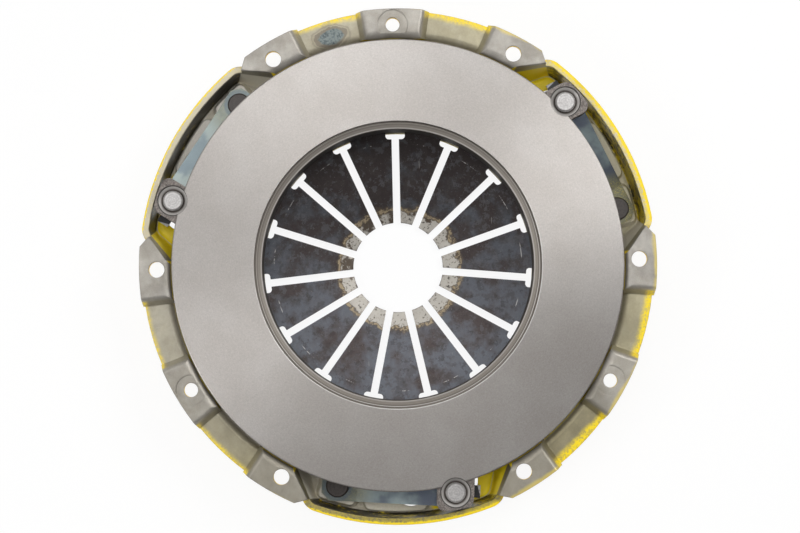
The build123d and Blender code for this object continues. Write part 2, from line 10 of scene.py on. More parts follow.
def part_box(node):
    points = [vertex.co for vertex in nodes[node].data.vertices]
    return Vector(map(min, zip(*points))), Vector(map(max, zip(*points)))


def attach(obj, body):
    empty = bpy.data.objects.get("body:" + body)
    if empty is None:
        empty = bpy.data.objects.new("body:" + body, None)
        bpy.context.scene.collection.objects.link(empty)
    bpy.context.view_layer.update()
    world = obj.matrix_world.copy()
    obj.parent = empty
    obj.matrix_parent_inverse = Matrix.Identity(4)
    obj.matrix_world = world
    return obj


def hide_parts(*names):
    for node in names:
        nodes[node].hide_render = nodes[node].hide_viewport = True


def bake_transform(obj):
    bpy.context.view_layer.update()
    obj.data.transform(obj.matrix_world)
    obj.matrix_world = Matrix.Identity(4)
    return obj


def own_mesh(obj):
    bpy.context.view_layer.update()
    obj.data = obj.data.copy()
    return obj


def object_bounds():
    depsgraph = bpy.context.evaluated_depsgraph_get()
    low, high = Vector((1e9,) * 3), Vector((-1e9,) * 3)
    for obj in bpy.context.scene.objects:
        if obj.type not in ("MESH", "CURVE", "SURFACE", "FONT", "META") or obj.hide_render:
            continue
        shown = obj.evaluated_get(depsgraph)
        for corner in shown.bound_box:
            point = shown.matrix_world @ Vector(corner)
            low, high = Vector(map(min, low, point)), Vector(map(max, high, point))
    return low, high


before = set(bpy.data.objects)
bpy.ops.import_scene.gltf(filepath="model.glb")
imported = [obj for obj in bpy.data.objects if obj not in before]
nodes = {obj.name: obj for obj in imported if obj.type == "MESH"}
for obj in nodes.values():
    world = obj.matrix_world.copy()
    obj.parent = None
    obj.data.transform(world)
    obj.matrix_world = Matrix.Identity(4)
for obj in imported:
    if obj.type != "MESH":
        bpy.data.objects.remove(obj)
cad_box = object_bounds()
scene = bpy.context.scene
scene.view_settings.view_transform = "Standard"

MM = 0.001
DEGREE = math.pi / 180
COVER = "cover_assembly"

# Sizes that the finished pieces share with the solids, in metres and degrees
POCKETS = 3
LEAVES = 3
FINGERS = 15
FIRST_POCKET = 30
FIRST_FINGER = 102
LUG_OFFSET = 12.9
STRAP_OFFSET = -16.7
RIVET_CIRCLE = 133.6 * MM
STRAP_RIVET_CIRCLE = 131.7 * MM
FULCRUM_RIVET_CIRCLE = 85.43 * MM
FIRST_FULCRUM_RIVET = 90

# Finish of the new meshes
MERGE_DISTANCE = 0.002 * MM
SHARP_FROM = 30 * DEGREE
RIVET_SHARP_FROM = 35 * DEGREE
RIVET_SEGMENTS = 40
LEAF_SLICES = 20
LEAF_CLAMPED = 0.16

# Paint of the cover, and a brighter copy of the same paint with painted light in it, for the pockets where
# only stray light reaches
YELLOW = (0.84, 0.63, 0.010)
POCKET_YELLOW_WITH_PAINTED_LIGHT = (0.96, 0.75, 0.012)

# Camera, worked out from the hole circle and the parallax in the photograph
DISTANCE = 0.998
TILT = math.radians(2.5)
ROLL = math.radians(-1.3)
HALF_FIELD = math.radians(12.85)
AIM_RIGHT = 1.14 * MM
AIM_DOWN = 1.25 * MM

# Floor and sky
FLOOR_REACH = 6.0
FLOOR_GAP = 0.2 * MM
FLOOR_GLOW = 0.9
FLOOR_WHITE = (0.86, 0.86, 0.86, 1)
WHITE = (1, 1, 1, 1)
SKY_TOWARD = (-0.36, 0.82, 0.46)
SKY_LEVELS = (("From Min", 0.30), ("From Max", 0.80), ("To Min", 0.15), ("To Max", 0.70))


def polar(radius, angle, level=0.0):
    """Point at a radius, an angle in degrees and a level."""
    turn = math.radians(angle)
    return Vector((radius * math.cos(turn), radius * math.sin(turn), level))


class Paint:
    """One procedural material, with short calls for its nodes."""

    def __init__(self, name, roughness=0.5, metallic=0.0, specular=0.5, edge=0.0):
        self.material = bpy.data.materials.new(name)
        self.material.use_nodes = True
        self.tree = self.material.node_tree
        self.shader = self.tree.nodes["Principled BSDF"]
        self.shader.inputs["Roughness"].default_value = roughness
        self.shader.inputs["Metallic"].default_value = metallic
        self.shader.inputs["Specular IOR Level"].default_value = specular
        coordinates = self.node("ShaderNodeTexCoord")
        self.place = coordinates.outputs["Object"]
        self.normal = coordinates.outputs["Normal"]
        parts = self.node("ShaderNodeSeparateXYZ", {0: self.place})
        self.x, self.y, self.z = parts.outputs
        flat = self.node("ShaderNodeCombineXYZ", {0: self.x, 1: self.y})
        self.radius = self.length(flat.outputs[0])
        self.turn = self.math("ARCTAN2", self.y, self.x)
        facing = self.node("ShaderNodeSeparateXYZ", {0: self.normal})
        self.across, self.ahead, self.upward = facing.outputs
        if edge:
            worn_edge = self.node("ShaderNodeBevel", {"Radius": edge})
            self.put(self.shader.inputs["Normal"], worn_edge.outputs[0])

    def node(self, kind, inputs=()):
        """New node, with some of its inputs set or linked."""
        made = self.tree.nodes.new(kind)
        for socket, value in dict(inputs).items():
            self.put(made.inputs[socket], value)
        return made

    def put(self, socket, value):
        """Links an output to a socket, or sets a constant on it."""
        if isinstance(value, bpy.types.NodeSocket):
            self.tree.links.new(value, socket)
        else:
            socket.default_value = value

    def put_colour(self, socket, value):
        """The same for a colour, whose constant has three parts."""
        self.put(socket, value if isinstance(value, bpy.types.NodeSocket) else (*value, 1.0))

    def math(self, operation, a, b=0.0):
        made = self.node("ShaderNodeMath", {0: a, 1: b})
        made.operation = operation
        return made.outputs[0]

    def length(self, vector):
        made = self.node("ShaderNodeVectorMath", {0: vector})
        made.operation = "LENGTH"
        return made.outputs["Value"]

    def times(self, value, factor):
        return self.math("MULTIPLY", value, factor)

    def minus(self, a, b):
        return self.math("SUBTRACT", a, b)

    def inverse(self, share):
        """1 where a share is 0, and 0 where it is 1."""
        return self.minus(1.0, share)

    def add(self, *values):
        total = values[0]
        for value in values[1:]:
            total = self.math("ADD", total, value)
        return total

    def both(self, *values):
        """Product of some shares: 1 where all of them are."""
        product = values[0]
        for value in values[1:]:
            product = self.times(product, value)
        return product

    def either(self, *values):
        """Greatest of some shares: 1 where any of them is."""
        most = values[0]
        for value in values[1:]:
            most = self.math("MAXIMUM", most, value)
        return most

    def rise(self, value, low, high):
        """0 below low and 1 above high, with a smooth step between them."""
        made = self.node("ShaderNodeMapRange", {"Value": value, "From Min": low, "From Max": high})
        made.interpolation_type = "SMOOTHSTEP"
        return made.outputs["Result"]

    def fall(self, value, low, high):
        """1 below low and 0 above high."""
        return self.inverse(self.rise(value, low, high))

    def band(self, value, low, high, soft):
        """1 between low and high, fading out over a soft width."""
        return self.both(self.rise(value, low - soft, low), self.fall(value, high, high + soft))

    def scale(self, value, low, high):
        """Value from 0 to 1 turned into low to high."""
        made = self.node("ShaderNodeMapRange", {"Value": value, "To Min": low, "To Max": high})
        return made.outputs["Result"]

    def sway(self, noise, width):
        """Noise turned into a shift of up to half a width to either side."""
        return self.times(self.minus(noise, 0.5), width)

    def noise(self, size, detail=3.0, roughness=0.55, stretch=None, seed=0.0):
        """Noise whose features are about size metres wide."""
        place = self.place
        if stretch is not None:
            mapping = self.node("ShaderNodeMapping", {"Vector": place, "Scale": stretch})
            place = mapping.outputs[0]
        made = self.node("ShaderNodeTexNoise")
        made.noise_dimensions = "4D"
        self.put(made.inputs["Vector"], place)
        self.put(made.inputs["W"], seed)
        self.put(made.inputs["Scale"], 1.0 / size)
        self.put(made.inputs["Detail"], detail)
        self.put(made.inputs["Roughness"], roughness)
        return made.outputs[0]

    def mix(self, share, a, b):
        """Colour a where a share is 0, and colour b where it is 1."""
        made = self.node("ShaderNodeMix")
        made.data_type = "RGBA"
        self.put(made.inputs["Factor"], share)
        self.put_colour(made.inputs[6], a)
        self.put_colour(made.inputs[7], b)
        return made.outputs[2]

    def shade(self, colour, factor):
        """Colour multiplied by a factor."""
        grey = self.node("ShaderNodeCombineColor", {0: factor, 1: factor, 2: factor})
        made = self.node("ShaderNodeMix")
        made.data_type = "RGBA"
        made.blend_type = "MULTIPLY"
        self.put(made.inputs["Factor"], 1.0)
        self.put_colour(made.inputs[6], colour)
        self.put(made.inputs[7], grey.outputs[0])
        return made.outputs[2]

    def from_middle(self, first, count):
        """Angle from the nearest of some evenly spaced directions, with its sign and without it."""
        step = math.tau / count
        shifted = self.add(self.minus(self.turn, first * DEGREE), step / 2 + 2 * math.tau)
        signed = self.minus(self.math("FLOORED_MODULO", shifted, step), step / 2)
        return signed, self.math("ABSOLUTE", signed)

    def local(self, circle, offset):
        """Coordinates round the nearest rivet on a circle: outwards and along it."""
        wrapped = self.from_middle(FIRST_POCKET + offset, POCKETS)[0]
        out = self.minus(self.times(self.radius, self.math("COSINE", wrapped)), circle)
        along = self.times(self.radius, self.math("SINE", wrapped))
        return out, along

    def distance(self, a, b):
        return self.math("SQRT", self.add(self.times(a, a), self.times(b, b)))

    def normal_parts(self, side):
        """How far a face looks away from the shaft axis, and away from the middle of its pocket."""
        outward = self.add(self.times(self.across, self.x), self.times(self.ahead, self.y))
        outward = self.math("DIVIDE", outward, self.radius)
        round_part = self.minus(self.times(self.ahead, self.x), self.times(self.across, self.y))
        round_part = self.math("DIVIDE", round_part, self.radius)
        return outward, self.times(round_part, self.math("SIGN", side))

    def rings(self, distance, pitch):
        """Fine turned rings round a centre, from 0 to 1."""
        wave = self.math("SINE", self.times(distance, math.tau / pitch))
        return self.add(self.times(wave, 0.5), 0.5)

    def bump(self, height, depth, strength=1.0):
        """Relief on top of what the normal is so far."""
        made = self.node("ShaderNodeBump", {"Strength": strength, "Distance": depth, "Height": height})
        normal = self.shader.inputs["Normal"]
        if normal.is_linked:
            self.put(made.inputs["Normal"], normal.links[0].from_socket)
        self.put(normal, made.outputs[0])

    def finish(self, colour, roughness=None, metallic=None):
        self.put(self.shader.inputs["Base Color"], colour)
        if roughness is not None:
            self.put(self.shader.inputs["Roughness"], roughness)
        if metallic is not None:
            self.put(self.shader.inputs["Metallic"], metallic)
        return self.material


class CoverPaint(Paint):
    """Material of the cover, with the noises and places that its finishes share."""

    def __init__(self):
        super().__init__("cover_yellow_and_steel", specular=0.45, edge=0.9 * MM)
        self.cloud = self.noise(14 * MM, 4, seed=1)
        self.fine = self.noise(1.1 * MM, 3, 0.6, seed=2)
        self.grain = self.noise(0.35 * MM, 2, 0.6, seed=3)
        self.speckle = self.rise(self.fine, 0.36, 0.56)
        self.pocket_side, self.away = self.from_middle(FIRST_POCKET, POCKETS)
        self.pocket = self.fall(self.away, 22.3 * DEGREE, 22.9 * DEGREE)
        self.lug_end = self.rise(self.pocket_side, 6.0 * DEGREE, 7.5 * DEGREE)
        self.low_side = self.fall(self.y, -150 * MM, -20 * MM)
        self.right_side = self.rise(self.x, -120 * MM, 120 * MM)
        self.off_tab = self.inverse(self.rise(self.z, -3.0 * MM, -1.2 * MM))
        self.olive = self.olive_spray()

    def olive_spray(self):
        """Thin spray over steel, with painted shade that makes it darker towards the bottom right."""
        pale_olive = self.mix(self.fine, (0.34, 0.30, 0.17), (0.50, 0.45, 0.28))
        shaded_olive = self.mix(self.fine, (0.15, 0.125, 0.05), (0.25, 0.21, 0.095))
        # Painted shade: the olive turns darker towards the bottom right
        darker = self.both(self.low_side, self.scale(self.right_side, 0.6, 1.0))
        return self.mix(darker, pale_olive, shaded_olive)


def bare_inside(p):
    """Bare steel with a thin olive haze on the webs, and painted shade towards the bottom and next to the
    plate.
    """
    grey_steel = (0.345, 0.32, 0.28)
    pale_steel = (0.475, 0.45, 0.41)
    shaded_steel = (0.27, 0.245, 0.18)
    steel = p.mix(p.rise(p.cloud, 0.35, 0.7), grey_steel, pale_steel)
    steel = p.shade(steel, p.scale(p.grain, 0.80, 1.20))
    # Painted shade: darker, browner steel towards the bottom of the part
    steel = p.mix(p.times(p.low_side, 0.6), steel, shaded_steel)
    haze = p.both(p.off_tab, p.either(p.scale(p.right_side, 0.38, 0.72), p.times(p.low_side, 0.85)))
    inside = p.mix(haze, steel, p.olive)
    grime = p.noise(26 * MM, 5, 0.65, seed=4)
    streaks = p.noise(5 * MM, 3, 0.6, stretch=(1.0, 0.35, 1.0), seed=5)
    inside = p.shade(inside, p.scale(p.rise(grime, 0.35, 0.65), 0.80, 1.06))
    inside = p.shade(inside, p.scale(streaks, 0.84, 1.16))
    # Painted shade where the webs meet the plate, stronger towards the bottom
    shade_near_plate = p.both(p.fall(p.radius, 130 * MM, 137 * MM), p.scale(p.low_side, 0.35, 1.0))
    return p.shade(inside, p.scale(shade_near_plate, 1.0, 0.72))


def pocket_rims(p, inside):
    """Pale dusty rims on the pockets, with painted shade that makes them dark at the bottom of the part."""
    dusty_rim = p.mix(
        p.both(p.speckle, p.scale(p.right_side, 0.25, 1.0)), (0.56, 0.52, 0.43), (0.66, 0.54, 0.16))
    # Painted shade: the rims turn dark at the bottom of the part
    shaded_rim = p.mix(p.speckle, (0.16, 0.13, 0.03), (0.42, 0.33, 0.03))
    rim_colour = p.mix(p.times(p.low_side, 0.8), dusty_rim, shaded_rim)
    rim = p.both(p.pocket, p.rise(p.z, -7.2 * MM, -6.6 * MM), p.rise(p.upward, 0.5, 0.8), p.off_tab)
    return p.mix(p.times(rim, 0.85), inside, rim_colour)


def overspray(p):
    """Share of yellow spray: soft on the webs, crisp on the rims of the pockets, faint on the tabs."""
    wetter = p.add(p.times(p.low_side, 0.8 * MM), p.scale(p.right_side, -1.0 * MM, 1.8 * MM))
    spread = p.add(p.radius, p.sway(p.cloud, 6 * MM), wetter)
    web_edge = p.both(p.rise(spread, 142.6 * MM, 146.6 * MM), p.inverse(p.pocket), p.off_tab)
    rim_place = p.add(p.radius, p.sway(p.fine, 2.6 * MM))
    rim_start = p.minus(p.scale(p.right_side, 147.0 * MM, 146.15 * MM), p.times(p.low_side, 0.1 * MM))
    rim_edge = p.both(p.rise(p.minus(rim_place, rim_start), 0.0, 0.7 * MM), p.pocket)
    tab_edge = p.times(p.rise(spread, 147.0 * MM, 149.0 * MM), 0.45)
    return p.either(p.both(web_edge, p.scale(p.speckle, 0.45, 1.0)), rim_edge, tab_edge)


def pocket_inside(p):
    """Colour deep in a pocket, and the share of it that is painted."""
    wall_foot = (142.4 * MM, 143.0 * MM)
    upright = p.fall(p.upward, 0.45, 0.75)
    pad_steel = p.mix(p.fine, (0.50, 0.465, 0.40), (0.70, 0.67, 0.61))
    pad_steel = p.mix(p.times(p.right_side, 0.35), pad_steel, (0.62, 0.55, 0.24))
    # The floor is steel under the strap and yellow behind the lug, in the brighter yellow that holds
    # painted light
    yellow_floor = p.both(p.lug_end, p.fall(p.z, -26 * MM, -25 * MM))
    colour = p.mix(yellow_floor, p.mix(0.35, pad_steel, p.olive), POCKET_YELLOW_WITH_PAINTED_LIGHT)
    pad = p.both(p.rise(p.z, -27.4 * MM, -26.6 * MM), p.fall(p.radius, 143.2 * MM, 143.4 * MM))
    colour = p.mix(pad, colour, pad_steel)
    # Painted shade makes the outer wall nearly black, darker on the left, with yellow overspray mottling
    # that shows more on the right
    mottling = p.add(p.times(p.cloud, 0.45), p.times(p.noise(2.6 * MM, 4, 0.7, seed=6), 0.55))
    patchy = p.add(mottling, p.scale(p.right_side, -0.12, 0.02))
    shaded_mottled_wall = p.mix(p.rise(patchy, 0.46, 0.56), (0.022, 0.018, 0.007), (0.58, 0.44, 0.010))
    outer_wall = p.both(upright, p.rise(p.radius, *wall_foot))
    colour = p.mix(outer_wall, colour, shaded_mottled_wall)
    # The end wall is yellow at the lug and steel at the strap's rivet, both made paler than elsewhere as
    # painted light where the wall stands in shade
    end_steel_with_painted_light = p.mix(p.cloud, (0.58, 0.53, 0.40), (0.78, 0.74, 0.63))
    end_wall = p.both(upright, p.fall(p.radius, *wall_foot), p.rise(p.away, 20.0 * DEGREE, 20.6 * DEGREE))
    colour = p.mix(end_wall, colour, p.mix(p.lug_end, end_steel_with_painted_light, POCKET_YELLOW_WITH_PAINTED_LIGHT))
    return colour, p.either(yellow_floor, outer_wall)


def painted_outside(p):
    """Share of the surface that looks outwards or back, all of it under the paint."""
    outward, leaving = p.normal_parts(p.pocket_side)
    upright = p.fall(p.upward, 0.35, 0.6)
    bell_side = p.rise(p.away, 22.6 * DEGREE, 23.2 * DEGREE)
    outermost = p.either(p.rise(p.radius, 144.2 * MM, 144.6 * MM), bell_side)
    outer_face = p.both(p.rise(outward, 0.25, 0.45), upright, outermost)
    bulge_side = p.both(p.rise(leaving, 0.3, 0.5), upright, bell_side, p.fall(p.z, -8 * MM, -6 * MM))
    sideways = p.fall(p.math("ABSOLUTE", p.upward), 0.3, 0.5)
    on_tabs = p.rise(p.away, 27.6 * DEGREE, 28 * DEGREE)
    round_holes = p.both(on_tabs, p.fall(p.radius, 142.4 * MM, 142.8 * MM))
    hole_wall = p.both(sideways, round_holes, p.fall(p.z, -0.7 * MM, -0.4 * MM))
    backward = p.fall(p.upward, -0.35, -0.1)
    return p.either(backward, outer_face, bulge_side, hole_wall)


def heat_stained(p, colour):
    """One oval heat stain with dark rings, on a web at the top."""
    stain_half_sizes = (11.0 * MM, 6.6 * MM, 30 * MM)
    stain = p.node("ShaderNodeMapping", {"Vector": p.place})
    stain.vector_type = "TEXTURE"
    p.put(stain.inputs["Location"], (-35.6 * MM, 132.2 * MM, -6 * MM))
    p.put(stain.inputs["Rotation"], (0.0, 0.0, 14 * DEGREE))
    p.put(stain.inputs["Scale"], stain_half_sizes)
    from_centre = p.add(p.length(stain.outputs[0]), p.sway(p.noise(4 * MM, 3, seed=9), 0.6))
    on_web = p.both(p.fall(p.z, -4 * MM, -3 * MM), p.rise(p.z, -8 * MM, -7 * MM))
    spot = p.both(p.fall(from_centre, 0.6, 0.72), on_web)
    inner_ring = p.band(from_centre, 0.70, 0.82, 0.10)
    outer_ring = p.times(p.band(from_centre, 1.0, 1.04, 0.10), 0.55)
    rings = p.both(p.either(inner_ring, outer_ring), on_web)
    blue = p.mix(p.speckle, (0.065, 0.09, 0.105), (0.17, 0.21, 0.215))
    brown = (0.15, 0.125, 0.10)
    colour = p.mix(p.times(spot, 0.88), colour, blue)
    return p.mix(p.times(rings, 0.65), colour, brown)


def cover_paint():
    """Pressed steel: yellow outside, bare inside with overspray towards the rim."""
    p = CoverPaint()
    spray = overspray(p)
    inside = p.mix(spray, pocket_rims(p, bare_inside(p)), YELLOW)
    deep = p.both(p.fall(p.z, -9 * MM, -7 * MM), p.rise(p.radius, 117 * MM, 119 * MM))
    pocket_colour, pocket_painted = pocket_inside(p)
    inside = p.mix(deep, inside, pocket_colour)
    outside = painted_outside(p)
    coat = p.shade(YELLOW, p.scale(p.cloud, 0.92, 1.08))
    colour = heat_stained(p, p.mix(outside, inside, coat))
    painted_pocket = p.both(deep, p.scale(pocket_painted, 0.75, 1.0))
    metal = p.inverse(p.either(outside, spray, painted_pocket))
    p.bump(p.add(p.fine, p.times(p.grain, 0.4)), 0.05 * MM, 0.5)
    return p.finish(colour, p.scale(metal, 0.38, 0.46), p.times(metal, 0.6))


def ground_face(p, fine, lit_side):
    """Ground friction face: scratches that run round the ring, painted shade that darkens it at the lower
    right, and a painted highlight on its inner rim.
    """
    broad = p.noise(34 * MM, 3, seed=12)
    speck = p.noise(0.55 * MM, 2, 0.7, seed=14)
    face = p.mix(p.rise(broad, 0.35, 0.68), (0.455, 0.425, 0.40), (0.495, 0.468, 0.445))
    face = p.shade(face, p.scale(fine, 0.84, 1.16))
    face = p.shade(face, p.scale(speck, 0.80, 1.20))
    scratch_place = p.node("ShaderNodeCombineXYZ", {0: p.radius, 1: p.times(p.turn, 0.05)})
    scratch = p.node("ShaderNodeTexNoise", {"Scale": 1400.0, "Detail": 3.0})
    p.put(scratch.inputs["Vector"], scratch_place.outputs[0])
    face = p.shade(face, p.scale(scratch.outputs[0], 0.88, 1.12))
    # Painted shade: the face darkens towards the lower right
    toward_lower_right = p.minus(p.times(p.x, 0.5), p.times(p.y, 0.87))
    shade_lower_right = p.rise(toward_lower_right, 10 * MM, 120 * MM)
    face = p.shade(face, p.scale(shade_lower_right, 1.0, 0.78))
    # Painted highlight on the inner rim, stronger on the lit side
    rim_highlight = p.both(p.fall(p.radius, 82.35 * MM, 82.6 * MM), lit_side)
    return p.mix(rim_highlight, face, (0.78, 0.76, 0.74))


def turned_bore(p):
    """Turned ledge inside the friction face, with painted shade towards the top, a painted highlight line
    and a fine dark line, and painted shade on the wall of the bore.
    """
    turned = p.mix(p.rings(p.radius, 0.7 * MM), (0.165, 0.145, 0.125), (0.31, 0.28, 0.245))
    # Painted shade: the ledge darker towards the top
    turned = p.shade(turned, p.scale(p.rise(p.y, 75 * MM, -30 * MM), 0.70, 1.0))
    # Painted highlight: a pale line near the inner edge
    highlight_line = p.times(p.band(p.radius, 77.8 * MM, 78.1 * MM, 0.25 * MM), 0.55)
    turned = p.mix(highlight_line, turned, (0.50, 0.48, 0.46))
    dark_line = p.times(p.band(p.radius, 80.0 * MM, 80.2 * MM, 0.2 * MM), 0.6)
    turned = p.mix(dark_line, turned, (0.09, 0.08, 0.07))
    # Painted shade: the wall of the bore nearly black
    bore_wall_shade = p.both(p.fall(p.radius, 77.5 * MM, 77.7 * MM), p.fall(p.upward, 0.4, 0.7))
    return p.mix(p.times(bore_wall_shade, 0.9), turned, (0.035, 0.030, 0.027))


def rivet_seat(p, to_rivet):
    """Machined seat round a lug rivet: turned rings, a painted highlight on the shoulder, painted shade
    round the head and a dark outer groove.
    """
    seat = p.mix(p.rings(to_rivet, 0.55 * MM), (0.20, 0.185, 0.17), (0.27, 0.25, 0.235))
    # Painted highlight on the sloping shoulder of the seat
    shoulder_highlight = p.band(to_rivet, 7.1 * MM, 7.9 * MM, 0.3 * MM)
    seat = p.mix(shoulder_highlight, seat, (0.46, 0.44, 0.42))
    # Painted shade: a dark ring round the rivet's head
    shade_round_head = p.fall(to_rivet, 6.1 * MM, 6.9 * MM)
    seat = p.mix(shade_round_head, seat, (0.095, 0.082, 0.072))
    outer_groove = p.band(to_rivet, 8.35 * MM, 8.8 * MM, 0.15 * MM)
    return p.mix(outer_groove, seat, (0.06, 0.055, 0.05))


def iron_paint():
    """Cast iron: ground friction ring, turned bore and rough lugs with machined seats."""
    p = Paint("plate_iron", specular=0.5, edge=0.5 * MM)
    fine = p.noise(0.8 * MM, 3, 0.65, seed=11)
    grains = p.noise(0.9 * MM, 4, 0.75, seed=13)
    toward_top = p.add(p.y, p.times(p.x, -0.35))
    lit_side = p.scale(p.fall(toward_top, -70 * MM, 40 * MM), 0.12, 0.85)
    cast = p.mix(p.rise(grains, 0.3, 0.72), (0.07, 0.058, 0.052), (0.33, 0.295, 0.27))
    to_rivet = p.distance(*p.local(RIVET_CIRCLE, LUG_OFFSET))
    lug = p.both(p.rise(p.radius, 120 * MM, 122 * MM), p.fall(to_rivet, 17 * MM, 18 * MM))
    in_seat = p.both(lug, p.fall(to_rivet, 8.9 * MM, 9.1 * MM), p.rise(p.z, -6 * MM, -5 * MM))
    below = p.mix(in_seat, cast, rivet_seat(p, to_rivet))
    inner = p.fall(p.radius, 83 * MM, 84 * MM)
    below = p.mix(inner, below, turned_bore(p))
    # Painted highlight: a thin bright line on the ledge's edge, on the lit side
    ledge_highlight = p.both(p.band(p.radius, 80.7 * MM, 80.85 * MM, 0.12 * MM), p.rise(p.z, -6 * MM, -5 * MM))
    below = p.mix(p.both(ledge_highlight, lit_side), below, (0.66, 0.64, 0.62))
    on_face = p.rise(p.z, 0.4 * MM, 0.9 * MM)
    colour = p.mix(on_face, below, ground_face(p, fine, lit_side))
    rough_skin = p.both(p.inverse(p.either(on_face, in_seat, inner)), grains)
    p.bump(p.add(p.times(rough_skin, 12.0), fine), 0.03 * MM, 0.6)
    brush_round_the_ring(p)
    return p.finish(colour, p.scale(p.either(on_face, in_seat), 0.55, 0.37), p.scale(on_face, 0.5, 0.85))


def brush_round_the_ring(p):
    """Stretches highlights across the grinding marks, which makes two bright lobes on the face."""
    p.put(p.shader.inputs["Anisotropic"], 0.62)
    p.put(p.shader.inputs["Anisotropic Rotation"], 0.25)
    tangent = p.node("ShaderNodeTangent")
    tangent.direction_type = "RADIAL"
    tangent.axis = "Z"
    p.put(p.shader.inputs["Tangent"], tangent.outputs[0])


def blued_steel(p, fine, blotch):
    """Blue-black hardened steel, with a painted reflection that makes it bluer and paler at the bottom and
    browner at the top, with scratches and pits.
    """
    broad = p.noise(20 * MM, 4, 0.6, seed=21)
    small_patch = p.noise(4.5 * MM, 6, 0.7, seed=28)
    scratch = p.noise(1.4 * MM, 2, 0.5, stretch=(1.0, 0.09, 0.3), seed=29)
    pit = p.noise(0.6 * MM, 2, 0.5, seed=26)
    # Painted reflection: bluer and paler towards the bottom, browner at the top
    lower = p.rise(p.y, 60 * MM, -60 * MM)
    bluish = p.add(broad, p.sway(lower, 0.12))
    dark = p.mix(p.rise(bluish, 0.42, 0.60), (0.048, 0.038, 0.037), (0.078, 0.083, 0.096))
    dark = p.shade(dark, p.scale(lower, 0.80, 1.32))
    dark = p.mix(p.times(p.rise(blotch, 0.50, 0.58), 0.5), dark, (0.050, 0.042, 0.040))
    dark = p.shade(dark, p.scale(fine, 0.72, 1.28))
    dark = p.mix(p.times(p.rise(small_patch, 0.55, 0.57), 0.4), dark, (0.105, 0.107, 0.118))
    dark = p.mix(p.times(p.fall(small_patch, 0.42, 0.44), 0.45), dark, (0.034, 0.028, 0.027))
    dark = p.mix(p.times(p.rise(scratch, 0.73, 0.76), 0.5), dark, (0.26, 0.25, 0.24))
    return p.mix(p.times(p.rise(pit, 0.66, 0.72), 0.5), dark, (0.20, 0.185, 0.17))


def witness_marks(p, front):
    """Share of the short marks near the root of each finger."""
    from_finger = p.from_middle(FIRST_FINGER, FINGERS)[1]
    line = p.band(p.radius, 72.7 * MM, 72.9 * MM, 0.25 * MM)
    broken = p.rise(p.noise(2.2 * MM, 3, 0.6, seed=27), 0.47, 0.56)
    return p.both(line, p.fall(from_finger, 2.0 * DEGREE, 4.6 * DEGREE), broken, front)


def spring_paint():
    """Hardened spring steel: blue-black with brown stains and bare tips."""
    p = Paint("spring_steel", metallic=0.65, specular=0.5)
    fine = p.noise(1.6 * MM, 4, 0.65, seed=22)
    blotch = p.noise(7 * MM, 5, 0.65, seed=23)
    front = p.rise(p.upward, 0.2, 0.5)
    # The bearing has worn the tips bare, more on one side than on the other
    side = p.math("COSINE", p.add(p.turn, 50 * DEGREE))
    reach = p.add(p.radius, p.sway(blotch, 12 * MM), p.times(side, -1.5 * MM))
    worn_patches = p.rise(p.add(p.noise(9 * MM, 4, 0.6, seed=25), p.times(side, 0.07)), 0.36, 0.43)
    tip = p.both(p.fall(reach, 34.0 * MM, 34.8 * MM), front, worn_patches)
    brown = p.both(p.fall(reach, 36.5 * MM, 38.5 * MM), front)
    tan = p.both(p.band(reach, 35.4 * MM, 36.4 * MM, 0.8 * MM), front, p.rise(fine, 0.42, 0.52))
    bare_steel = p.mix(blotch, (0.34, 0.315, 0.28), (0.50, 0.475, 0.43))
    bare = p.mix(p.rise(fine, 0.36, 0.46), (0.09, 0.08, 0.07), bare_steel)
    colour = p.mix(p.times(brown, 0.65), blued_steel(p, fine, blotch), (0.105, 0.080, 0.055))
    colour = p.mix(p.times(tan, 0.8), colour, (0.34, 0.27, 0.17))
    colour = p.mix(tip, colour, bare)
    colour = p.mix(p.times(witness_marks(p, front), 0.7), colour, (0.50, 0.48, 0.46))
    p.bump(p.add(fine, blotch), 0.04 * MM, 0.5)
    return p.finish(colour, p.scale(p.either(tip, fine), 0.36, 0.5))


def strap_paint():
    """Tempered strip: blue-grey with darker and paler patches, and spray near the cover's rivet."""
    p = Paint("strap_steel", metallic=0.55, specular=0.5)
    to_rivet = p.distance(*p.local(STRAP_RIVET_CIRCLE, STRAP_OFFSET))
    broad = p.noise(16 * MM, 3, 0.55, seed=31)
    other = p.noise(19 * MM, 3, 0.5, seed=33)
    fine = p.noise(0.45 * MM, 2, 0.6, seed=32)
    left_side = p.fall(p.x, -110 * MM, 20 * MM)
    right_side = p.rise(p.x, -60 * MM, 100 * MM)
    temper = p.mix(p.rise(broad, 0.38, 0.62), (0.085, 0.10, 0.13), (0.19, 0.235, 0.24))
    temper = p.mix(p.times(p.rise(other, 0.45, 0.68), 0.5), temper, (0.32, 0.39, 0.39))
    pale_grey = p.mix(p.rise(broad, 0.42, 0.56), (0.20, 0.25, 0.27), (0.33, 0.38, 0.365))
    temper = p.mix(p.times(left_side, 0.8), temper, pale_grey)
    temper = p.shade(temper, p.scale(fine, 0.88, 1.12))
    haze = p.both(p.fall(to_rivet, 12 * MM, 24 * MM), p.scale(right_side, 0.45, 0.9))
    colour = p.mix(haze, temper, (0.185, 0.175, 0.105))
    blue_ring = p.both(p.band(to_rivet, 6.6 * MM, 8.2 * MM, 1.2 * MM), p.scale(right_side, 0.55, 0.1))
    colour = p.mix(blue_ring, colour, (0.09, 0.13, 0.18))
    spray = p.both(p.fall(to_rivet, 12 * MM, 22 * MM), p.rise(fine, 0.52, 0.62))
    spray = p.both(spray, p.scale(right_side, 0.15, 0.75))
    colour = p.mix(spray, colour, (0.46, 0.39, 0.10))
    p.bump(fine, 0.02 * MM, 0.4)
    return p.finish(colour, p.scale(fine, 0.3, 0.42))


